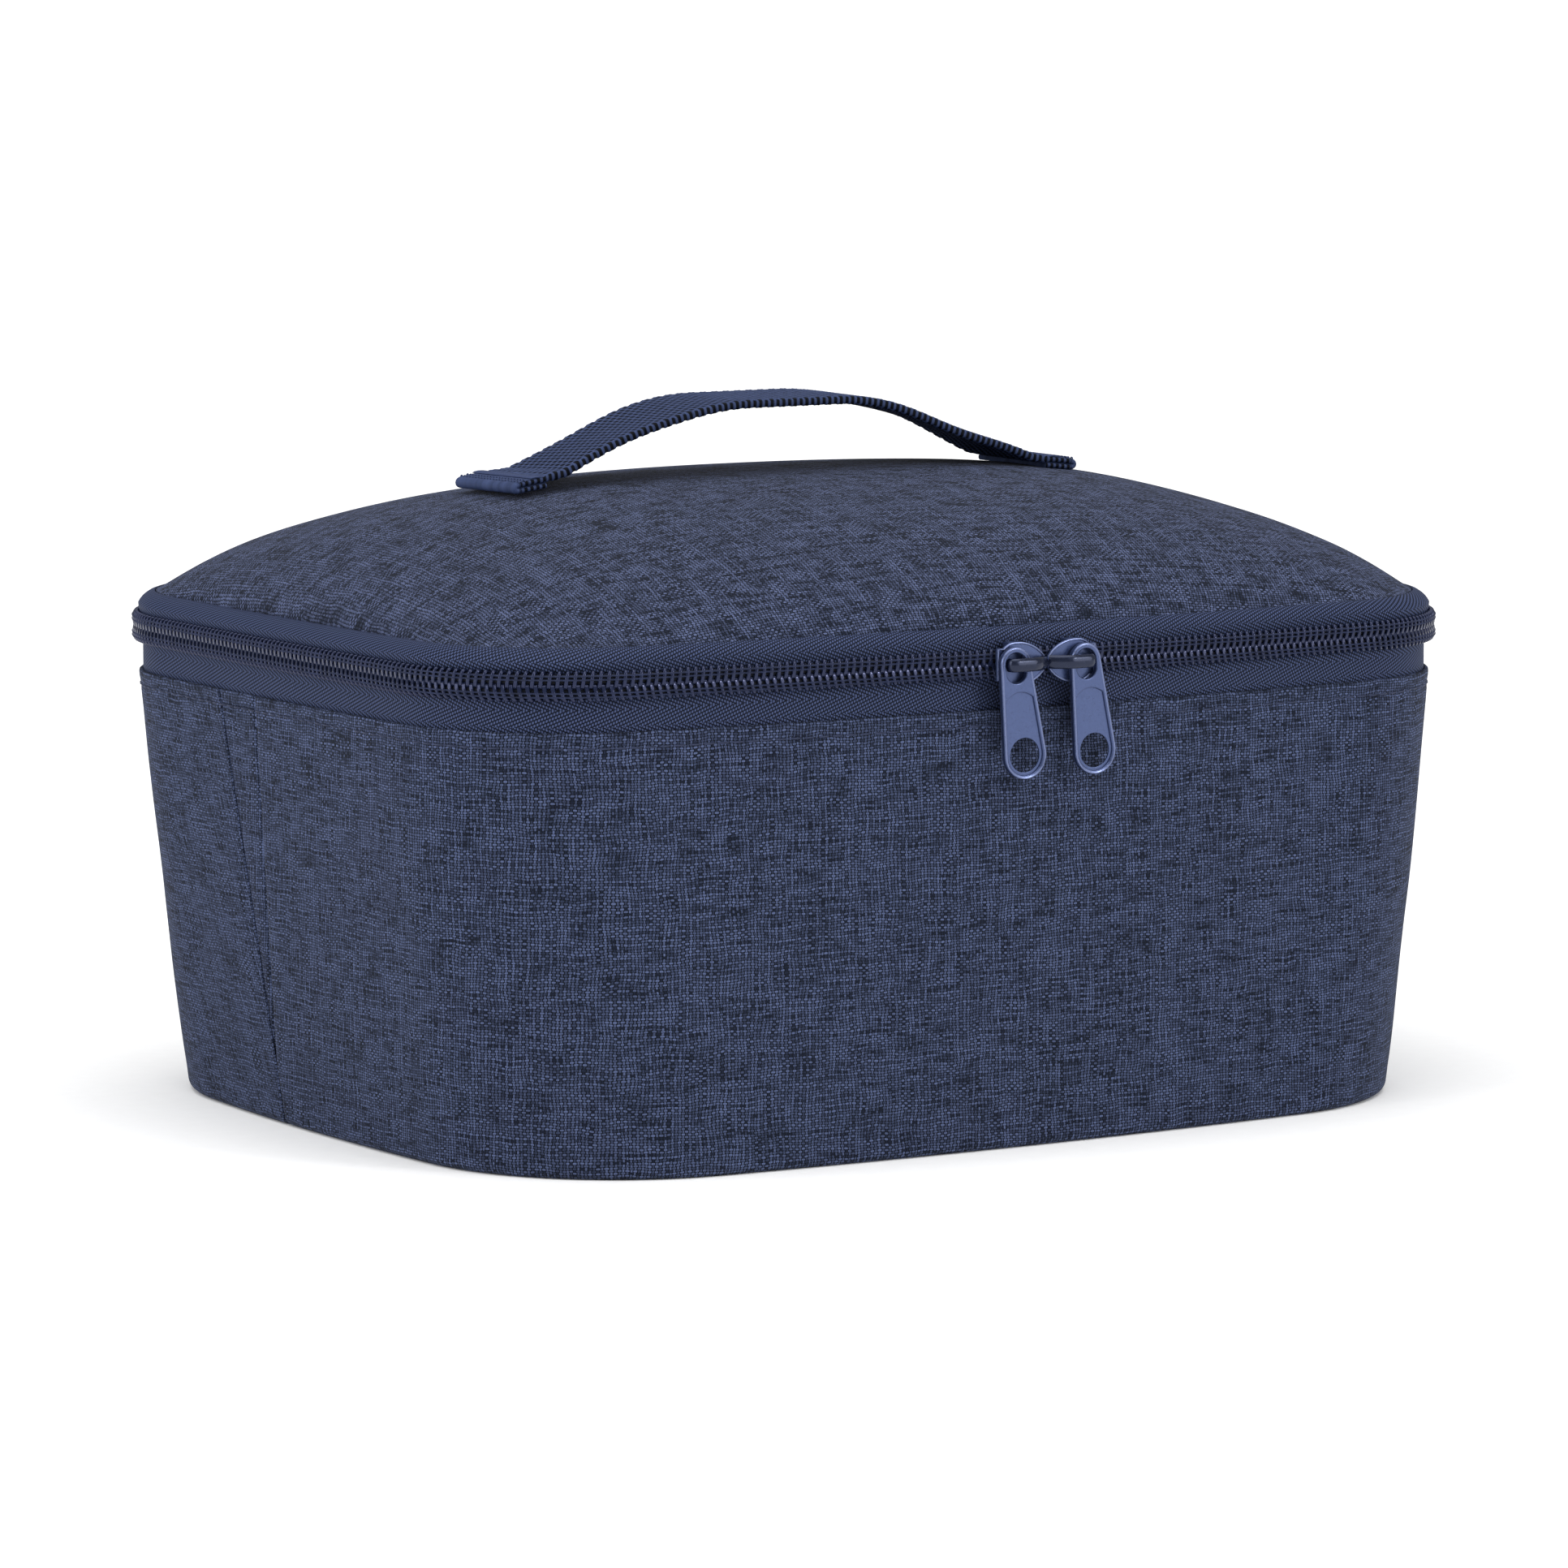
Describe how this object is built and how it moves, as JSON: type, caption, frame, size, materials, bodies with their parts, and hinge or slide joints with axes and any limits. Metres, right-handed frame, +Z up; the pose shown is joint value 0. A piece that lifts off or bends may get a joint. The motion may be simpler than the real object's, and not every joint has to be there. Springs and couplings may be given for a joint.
{
  "type": "cooler bag",
  "caption": "Soft insulated cooler bag with tapered walls, a domed lid hinged at the back and closed by a zip, two sliders with pull tabs, and a webbing handle on top.",
  "frame": {"origin": "on the resting face of the base, vertically below the centre of the zip's outline", "axes": "+X along the bag's length, +Z up; the zip sliders are on the front, which faces -Y"},
  "size_m": [0.28, 0.2176, 0.1668],
  "materials": {
    "melange": "woven navy melange polyester, matt",
    "tape": "herringbone-woven polyester zip tape",
    "coil": "glossy nylon monofilament",
    "webbing": "coarse woven polypropylene webbing",
    "foam": "closed-cell foam",
    "lining": "metallised film lining, satin",
    "board": "polyethylene board",
    "slider_metal": "satin blue-grey lacquer on zinc"
  },
  "bodies": {
    "base": {"wall_front_panel": "melange", "wall_back_panel": "melange", "side_pleat_left": "melange", "side_pleat_right": "melange", "base_panel": "melange", "base_board": "board", "base_foam": "foam", "base_lining": "lining", "wall_foam": "foam", "wall_lining": "lining", "wall_rim_binding": "tape", "lower_zip_tape": "tape", "lower_zip_coil": "coil", "hinge_band_lower": "melange"},
    "lid": {"hinge_band_upper": "melange", "upper_zip_tape": "tape", "upper_zip_coil": "coil", "lid_panel": "melange", "lid_foam": "foam", "lid_lining": "lining", "lid_rim_binding": "tape", "handle_strap": "webbing", "handle_patch_left": "webbing", "handle_patch_right": "webbing"},
    "slider_left": {"slider_left": "slider_metal"},
    "slider_right": {"slider_right": "slider_metal"},
    "pull_tab_left": {"pull_tab_left": "slider_metal"},
    "pull_tab_right": {"pull_tab_right": "slider_metal"}
  },
  "joints": [
    {"name": "lid_hinge", "type": "hinge", "parent": "base", "child": "lid", "pos_m": [0, 0.107, 0.1116], "axis": [-1, 0, 0], "range_deg": [0, 110]},
    {"name": "slider_left_travel", "type": "hinge", "parent": "base", "child": "slider_left", "pos_m": [0, 0.849, 0.1116], "axis": [0, 0, -1], "range_deg": [0, 5.2]},
    {"name": "slider_right_travel", "type": "hinge", "parent": "base", "child": "slider_right", "pos_m": [0, 0.849, 0.1116], "axis": [0, 0, 1], "range_deg": [0, 4.9]},
    {"name": "pull_tab_left_swing", "type": "hinge", "parent": "slider_left", "child": "pull_tab_left", "pos_m": [-0.00655, -0.10698, 0.1116], "axis": [-0.0039, -1, 0], "range_deg": [-97.5, 2.5]},
    {"name": "pull_tab_right_swing", "type": "hinge", "parent": "slider_right", "child": "pull_tab_right", "pos_m": [0.01255, -0.10692, 0.1116], "axis": [0.0102, -0.9999, 0], "range_deg": [-13.5, 82.5]}
  ]
}
